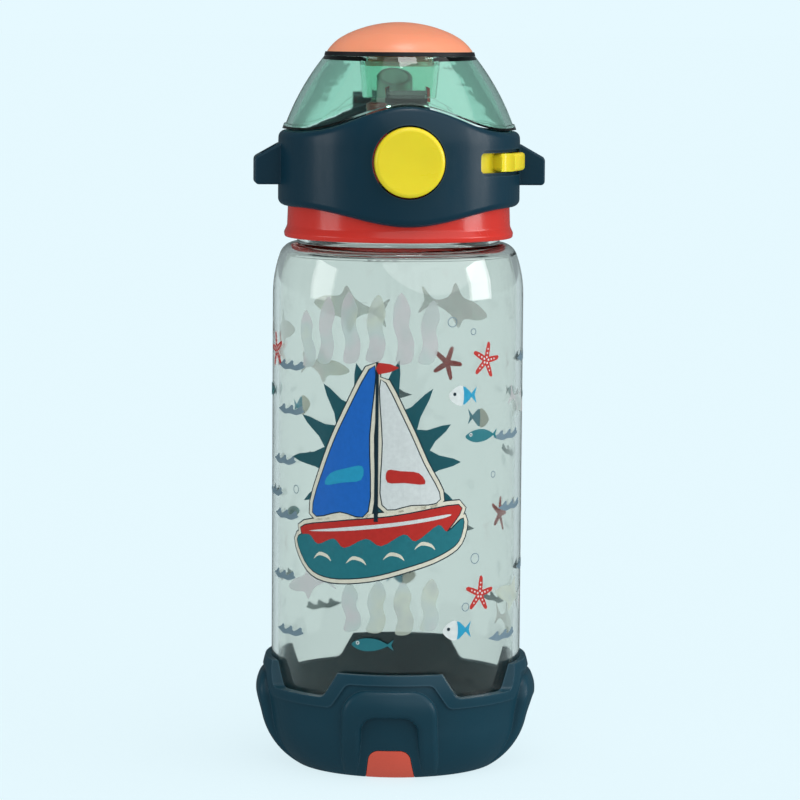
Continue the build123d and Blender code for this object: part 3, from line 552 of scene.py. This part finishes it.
# ------------------------------------------------------------------ boot
# A thick navy sleeve pressed on the bottle's foot, with four tabs up the wall and four
# raised arches. It is moulded in one piece of tough satin plastic. Its edges, the rim and
# the arches among them, are painted paler: a painted highlight where light catches them.


def moulded(
    name, colour, roughness, skin, skin_scale=1500.0, edge_highlight=0.0, coat=0.0, sheer=0.0, gleam=0.25
):
    """Moulded plastic or rubber: clouded colour, a fine skin, faint scuffs, and edges painted paler as
    a painted highlight.
    """
    material = bpy.data.materials.new(name)
    material.use_nodes = True
    nodes, links = material.node_tree.nodes, material.node_tree.links
    shader = nodes["Principled BSDF"]
    shader.inputs["Specular IOR Level"].default_value = gleam
    shader.inputs["Coat Weight"].default_value = coat
    shader.inputs["Coat Roughness"].default_value = 0.12
    shader.inputs["Subsurface Weight"].default_value = sheer
    shader.inputs["Subsurface Scale"].default_value = 0.002
    place = nodes.new("ShaderNodeTexCoord")
    cloud = nodes.new("ShaderNodeTexNoise")
    cloud.inputs["Scale"].default_value = 45.0
    cloud.inputs["Detail"].default_value = 4.0
    tint = nodes.new("ShaderNodeValToRGB")
    tint.color_ramp.elements[0].position = 0.3
    tint.color_ramp.elements[0].color = (*(c * 0.94 for c in colour), 1)
    tint.color_ramp.elements[1].position = 0.7
    tint.color_ramp.elements[1].color = (*(min(1, c * 1.05) for c in colour), 1)
    links.new(place.outputs["Object"], cloud.inputs["Vector"])
    links.new(cloud.outputs["Fac"], tint.inputs["Fac"])
    finished_colour = tint.outputs["Color"]
    # painted highlight: at the edges, where the bevelled normal turns away from the true one, the
    # colour is mixed towards a paler copy of itself
    if edge_highlight:
        surface = nodes.new("ShaderNodeNewGeometry")
        softened = nodes.new("ShaderNodeBevel")
        softened.samples = 4
        softened.inputs["Radius"].default_value = 0.0007
        same = nodes.new("ShaderNodeVectorMath")
        same.operation = "DOT_PRODUCT"
        edge = nodes.new("ShaderNodeMapRange")
        edge.inputs["From Min"].default_value = 0.995
        edge.inputs["From Max"].default_value = 0.86
        edge.inputs["To Max"].default_value = edge_highlight
        painted_edge_light = nodes.new("ShaderNodeMix")
        painted_edge_light.data_type = "RGBA"
        painted_edge_light.inputs["B"].default_value = (*(min(1, c * 1.6 + 0.04) for c in colour), 1)
        links.new(surface.outputs["Normal"], same.inputs[0])
        links.new(softened.outputs["Normal"], same.inputs[1])
        links.new(same.outputs["Value"], edge.inputs["Value"])
        links.new(edge.outputs["Result"], painted_edge_light.inputs["Factor"])
        links.new(tint.outputs["Color"], painted_edge_light.inputs["A"])
        finished_colour = painted_edge_light.outputs["Result"]
    links.new(finished_colour, shader.inputs["Base Color"])
    stretched = nodes.new("ShaderNodeMapping")
    stretched.inputs["Rotation"].default_value = (0.4, 0.9, 0.3)
    stretched.inputs["Scale"].default_value = (60, 900, 140)
    scuffs = nodes.new("ShaderNodeTexNoise")
    scuffs.inputs["Scale"].default_value = 1.0
    scuffs.inputs["Detail"].default_value = 3.0
    gloss = nodes.new("ShaderNodeMapRange")
    gloss.inputs["From Min"].default_value = 0.35
    gloss.inputs["From Max"].default_value = 0.75
    gloss.inputs["To Min"].default_value = roughness
    gloss.inputs["To Max"].default_value = roughness + 0.09
    grain = nodes.new("ShaderNodeTexNoise")
    grain.inputs["Scale"].default_value = skin_scale
    grain.inputs["Detail"].default_value = 2.0
    bump = nodes.new("ShaderNodeBump")
    bump.inputs["Strength"].default_value = skin
    bump.inputs["Distance"].default_value = 0.0001
    links.new(place.outputs["Object"], stretched.inputs["Vector"])
    links.new(stretched.outputs["Vector"], scuffs.inputs["Vector"])
    links.new(scuffs.outputs["Fac"], gloss.inputs["Value"])
    links.new(gloss.outputs["Result"], shader.inputs["Roughness"])
    links.new(place.outputs["Object"], grain.inputs["Vector"])
    links.new(grain.outputs["Fac"], bump.inputs["Height"])
    links.new(bump.outputs["Normal"], shader.inputs["Normal"])
    return material


# 0.45 here paints the boot's edges paler: a painted highlight
finish_node("boot", moulded("navy_boot", (0.0065, 0.038, 0.058), 0.36, 0.22, edge_highlight=0.45, gleam=0.22))

# ------------------------------------------------------------------ foot
# A soft red rubber pad under the boot that keeps the bottle from sliding. It is moulded
# with two tongues that come up through the boot at the front and the back.
finish_node("boot_foot", moulded("red_rubber", (0.66, 0.080, 0.045), 0.5, 0.5, 2200.0, gleam=0.3))

# ------------------------------------------------------------------ mouth seal
# A flat ring of grey silicone that the lid presses on the bottle's mouth. It lies loose
# in its groove and comes off for washing.


def silicone(name, colour, clear):
    """Soft silicone: a dull skin with a faint bloom, and light passes a little way into it."""
    material = moulded(name, colour, 0.36, 0.3, 1900.0, sheer=0.35, gleam=0.45)
    shader = material.node_tree.nodes["Principled BSDF"]
    shader.inputs["Transmission Weight"].default_value = clear
    shader.inputs["IOR"].default_value = 1.41
    return material


finish_node("lid_gasket", silicone("grey_silicone", (0.42, 0.44, 0.41), 0.0))

# ------------------------------------------------------------------ screw ring and deck
# The glossy red ring that screws on the neck. Its deck closes the mouth and rises into
# the tower that carries the spout. The collar is snapped on round it.
# 0.25 here paints the ring's edges paler: a painted highlight
red_plastic = moulded(
    "red_plastic", (0.60, 0.030, 0.020), 0.2, 0.05, edge_highlight=0.25, coat=0.2, sheer=0.1, gleam=0.3
)
finish_node("lid_base", red_plastic)

# ------------------------------------------------------------------ air valve
# A soft mushroom of silicone pulled through a hole in the deck. It lets air in behind
# the drink.
finish_node("vent_valve", silicone("valve_silicone", (0.50, 0.51, 0.48), 0.0))

# ------------------------------------------------------------------ spout
# A soft tube of smoky clear silicone with a slanted mouth, standing on the tower. The
# slit disc in its bore keeps the drink in, and a red ring holds its flange down.
finish_node("spout", silicone("smoky_silicone", (0.44, 0.45, 0.42), 0.8))
finish_node("spout_valve", silicone("slit_silicone", (0.36, 0.38, 0.35), 0.2))
# 0.2 here paints the clamp's edges paler: a painted highlight
finish_node("spout_clamp", moulded("red_clamp", (0.30, 0.030, 0.022), 0.3, 0.1, edge_highlight=0.2))

# ------------------------------------------------------------------ collar
# The navy collar that carries the button, the lock and the strap lugs. It is moulded in
# one piece of satin plastic with soft rims, and it snaps on over the red ring.
# 0.4 here paints the collar's edges paler: a painted highlight
navy_collar = moulded(
    "navy_collar", (0.0035, 0.026, 0.044), 0.32, 0.18, edge_highlight=0.4, coat=0.05, gleam=0.22
)
finish_node("collar", navy_collar)

# ------------------------------------------------------------------ push button
# A round yellow button, slightly hollow for the thumb, moulded in glossy plastic. It is
# clipped to the front of the latch.
YELLOW = (0.78, 0.60, 0.018)
# the 0.3 after the skin scale paints the button's edges paler: a painted highlight
yellow_button = moulded("yellow_button", YELLOW, 0.26, 0.06, 1400.0, 0.3, coat=0.25, sheer=0.12)
finish_node("push_button", yellow_button)

# ------------------------------------------------------------------ latch
# The black hook behind the button. It slides in the collar's bay and is moulded in
# slippery plastic, and its edges are painted paler as a painted highlight.
finish_node("latch_hook", moulded("black_latch", (0.012, 0.015, 0.017), 0.34, 0.15, 1700.0, 0.6))

# ------------------------------------------------------------------ button spring
# A coil of drawn stainless wire that pushes the button out again. Its ends rest on the
# latch and on the end wall of the bay, and it gets shorter as the button goes in.


def steel_wire(name, along):
    """Drawn stainless wire: bright metal with fine marks along it and a few dull spots."""
    material = bpy.data.materials.new(name)
    material.use_nodes = True
    nodes, links = material.node_tree.nodes, material.node_tree.links
    shader = nodes["Principled BSDF"]
    shader.inputs["Metallic"].default_value = 1.0
    place = nodes.new("ShaderNodeTexCoord")
    drawn = nodes.new("ShaderNodeMapping")
    drawn.inputs["Scale"].default_value = along
    marks = nodes.new("ShaderNodeTexNoise")
    marks.inputs["Scale"].default_value = 1.0
    marks.inputs["Detail"].default_value = 4.0
    tint = nodes.new("ShaderNodeValToRGB")
    tint.color_ramp.elements[0].position = 0.35
    tint.color_ramp.elements[0].color = (0.42, 0.41, 0.39, 1)
    tint.color_ramp.elements[1].position = 0.65
    tint.color_ramp.elements[1].color = (0.62, 0.61, 0.59, 1)
    gloss = nodes.new("ShaderNodeMapRange")
    gloss.inputs["To Min"].default_value = 0.16
    gloss.inputs["To Max"].default_value = 0.38
    bump = nodes.new("ShaderNodeBump")
    bump.inputs["Strength"].default_value = 0.1
    bump.inputs["Distance"].default_value = 0.00005
    links.new(place.outputs["Object"], drawn.inputs["Vector"])
    links.new(drawn.outputs["Vector"], marks.inputs["Vector"])
    links.new(marks.outputs["Fac"], tint.inputs["Fac"])
    links.new(tint.outputs["Color"], shader.inputs["Base Color"])
    links.new(marks.outputs["Fac"], gloss.inputs["Value"])
    links.new(gloss.outputs["Result"], shader.inputs["Roughness"])
    links.new(marks.outputs["Fac"], bump.inputs["Height"])
    links.new(bump.outputs["Normal"], shader.inputs["Normal"])
    return material


form = bmesh.new()
form.from_mesh(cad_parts["button_spring"].data)
bmesh.ops.remove_doubles(form, verts=form.verts, dist=1e-6)
coil_mesh = bpy.data.meshes.new("button_coil")
form.to_mesh(coil_mesh)
form.free()
coil_mesh.materials.append(steel_wire("button_wire", (2600, 900, 2600)))
button_coil = bpy.data.objects.new("button_coil", coil_mesh)
scene.collection.objects.link(button_coil)
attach(button_coil, "lid")
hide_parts("button_spring")
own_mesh(button_coil)

# ------------------------------------------------------------------ lock slider
# The yellow slider that blocks the button, with a scooped grip that stands out through
# its slot. A black strip clipped inside the collar keeps it against the wall.
# the 0.3 after the skin scale paints the slider's edges paler: a painted highlight
yellow_slider = moulded("yellow_slider", YELLOW, 0.28, 0.06, 1400.0, 0.3, coat=0.2, sheer=0.12)
finish_node("lock_slider", yellow_slider)
# the 0.4 after the skin scale paints the keeper's edges paler: a painted highlight
finish_node("slider_keeper", moulded("black_keeper", (0.014, 0.017, 0.02), 0.42, 0.2, 1700.0, 0.4))

# ------------------------------------------------------------------ hinge
# A stainless pin through the two ears at the back and the dome's knuckles, pressed in
# from one side, with a spring coiled round its middle that throws the dome open.
finish_node("hinge_pin", steel_wire("pin_steel", (500, 2600, 2600)))
finish_node("hinge_spring", steel_wire("spring_wire", (2600, 1200, 1200)))

# ------------------------------------------------------------------ dome
# The flip dome of clear sea-green plastic, moulded in one piece with its lip, the skirt
# that hangs round the spout, the catch at the front and the knuckles at the back.
finish_node("dome", clear_plastic("clear_green", (0.630, 0.870, 0.760), 0.02, 0.03, 34.0))

# ------------------------------------------------------------------ dark ring under the cap
# A thin black ring between the cap and the dome: painted shade, put where the dark gap line at the
# dome's top edge is. It shows as a dark line.
finish_node("cap_gasket", moulded("black_rubber", (0.006, 0.006, 0.008), 0.42, 0.3, 2000.0, gleam=0.3))

# ------------------------------------------------------------------ cap
# The salmon cap on top, pressed into the dome's skirt with its tube. It is moulded in
# satin plastic, and a disc of grey silicone in the tube's end closes the spout.
# 0.3 here paints the cap's edges paler: a painted highlight
salmon_plastic = moulded(
    "salmon_plastic", (0.82, 0.275, 0.150), 0.28, 0.07, edge_highlight=0.3, coat=0.15, sheer=0.15
)
finish_node("dome_cap", salmon_plastic)
finish_node("spout_seal", silicone("seal_silicone", (0.40, 0.42, 0.39), 0.0))

# ------------------------------------------------------------------ end
# The soft boxes are given every piece to light.
scene.collection.children.link(lit_pieces)
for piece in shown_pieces():
    lit_pieces.objects.link(piece)
